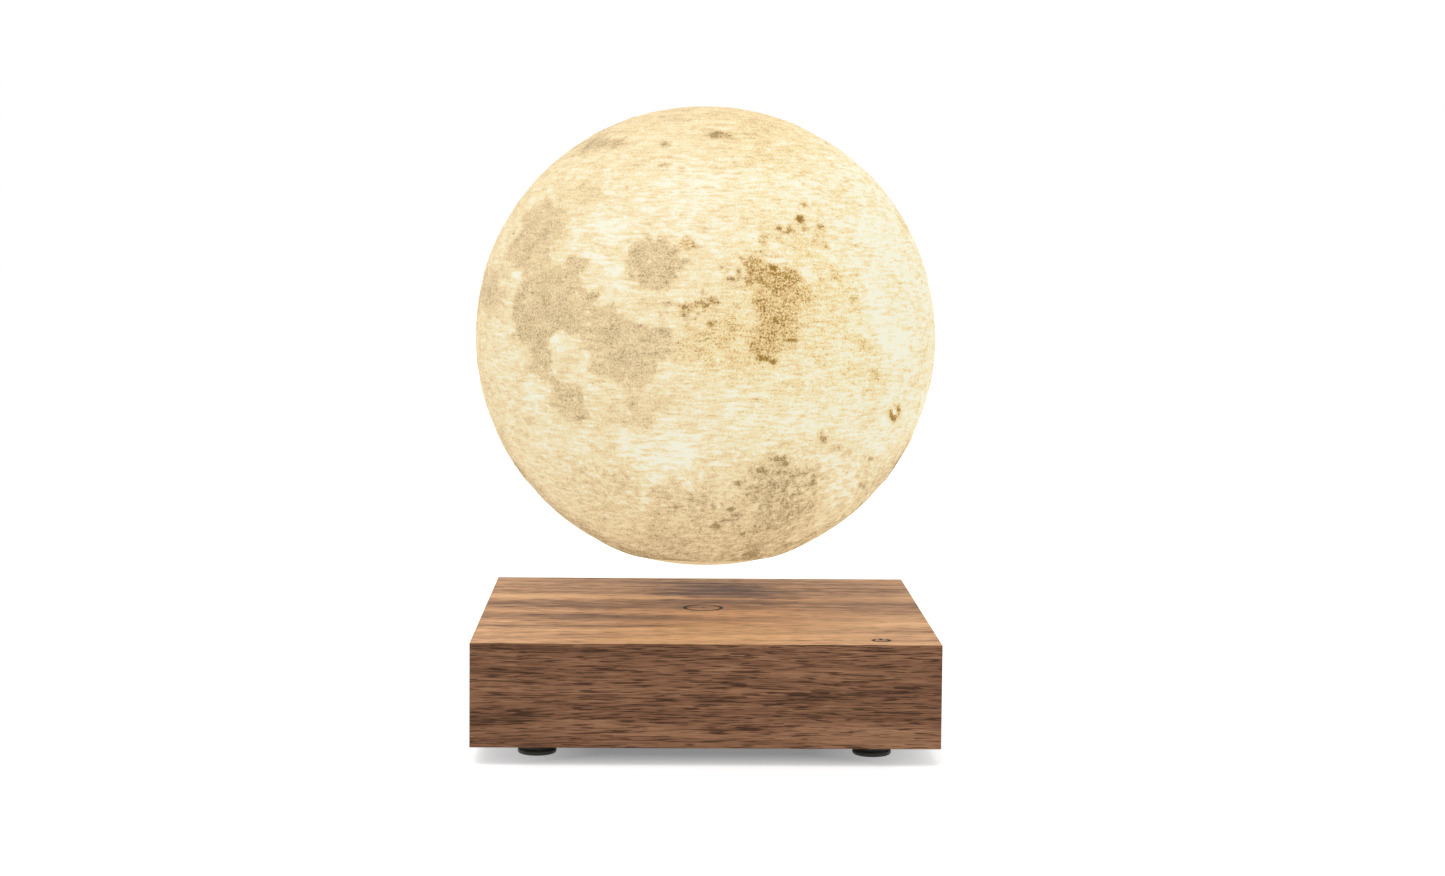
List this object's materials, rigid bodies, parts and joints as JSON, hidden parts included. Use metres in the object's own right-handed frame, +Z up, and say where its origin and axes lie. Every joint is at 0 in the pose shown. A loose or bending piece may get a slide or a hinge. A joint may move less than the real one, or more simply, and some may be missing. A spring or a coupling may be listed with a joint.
{
  "type": "levitating moon lamp",
  "caption": "Lit moon globe that hovers and turns over a square walnut box with a touch switch, a power inlet and rubber feet.",
  "frame": {"origin": "on the table, under the middle of the box and of the moon", "axes": "+Z up; +Y to the back, where the power inlet is; +X to the right, seen from the front; the touch mark is at the front right"},
  "size_m": [0.178, 0.178, 0.2395],
  "materials": {
    "walnut": "satin",
    "beech": "matte",
    "plate_black": "matte",
    "foot_rubber": "matte",
    "screw_steel": "satin",
    "standoff_brass": "satin",
    "circuit_board": "satin",
    "yoke_steel": "satin",
    "ring_magnet_black": "matte",
    "bobbin_plastic": "satin",
    "copper_winding": "gloss",
    "core_iron": "satin",
    "tray_plastic": "matte",
    "chip_black": "matte",
    "sink_aluminium": "satin",
    "capacitor_sleeve": "gloss",
    "socket_white": "satin",
    "inlet_black": "satin",
    "pin_nickel": "polished",
    "foil_copper": "satin",
    "lead_white": "satin",
    "moon_print": "matte",
    "cup_plastic": "matte",
    "magnet_nickel": "polished",
    "lamp_aluminium": "satin",
    "led_phosphor": "satin",
    "frosted_plastic": "matte"
  },
  "bodies": {
    "base": {"back_panel": "walnut", "board_screws": "screw_steel", "bottom_plate": "plate_black", "capacitors": "capacitor_sleeve", "coil_bobbin_1": "bobbin_plastic", "coil_bobbin_2": "bobbin_plastic", "coil_bobbin_3": "bobbin_plastic", "coil_bobbin_4": "bobbin_plastic", "coil_core_1": "core_iron", "coil_core_2": "core_iron", "coil_core_3": "core_iron", "coil_core_4": "core_iron", "coil_tray": "tray_plastic", "coil_winding_1": "copper_winding", "coil_winding_2": "copper_winding", "coil_winding_3": "copper_winding", "coil_winding_4": "copper_winding", "control_board": "circuit_board", "corner_block_back_left": "beech", "corner_block_back_right": "beech", "corner_block_front_left": "beech", "corner_block_front_right": "beech", "driver_chips": "chip_black", "feet": "foot_rubber", "front_panel": "walnut", "hall_holder": "bobbin_plastic", "hall_sensors": "chip_black", "heat_sink": "sink_aluminium", "inlet_housing": "inlet_black", "inlet_pin": "pin_nickel", "lead_sockets": "socket_white", "left_panel": "walnut", "plate_screws": "screw_steel", "processor": "chip_black", "right_panel": "walnut", "ring_magnet": "ring_magnet_black", "standoffs": "standoff_brass", "top_panel": "walnut", "touch_board": "circuit_board", "touch_lead": "lead_white", "touch_pad": "foil_copper", "transmit_coil": "copper_winding", "transmit_lead": "lead_white", "yoke_plate": "yoke_steel"},
    "magnet_carrier": {"float_magnet": "magnet_nickel"},
    "moon": {"float_cup": "cup_plastic", "float_lid": "cup_plastic", "lamp_lead": "lead_white", "lamp_post": "lamp_aluminium", "led_board": "lamp_aluminium", "led_diffuser": "frosted_plastic", "leds": "led_phosphor", "moon_shell": "moon_print", "receiver_board": "circuit_board", "receiver_chips": "chip_black", "receiver_coil": "copper_winding"}
  },
  "joints": [
    {"name": "moon_lift", "type": "slide", "parent": "base", "child": "magnet_carrier", "axis": [0, 0, 1], "range_m": [-0.0174, 0.06], "stiffness_N_per_m": 60, "springref_m": 0.0566},
    {"name": "moon_spin", "type": "hinge", "parent": "magnet_carrier", "child": "moon", "pos_m": [0, 0, 0.1505], "axis": [0, 0, 1], "continuous": true}
  ]
}
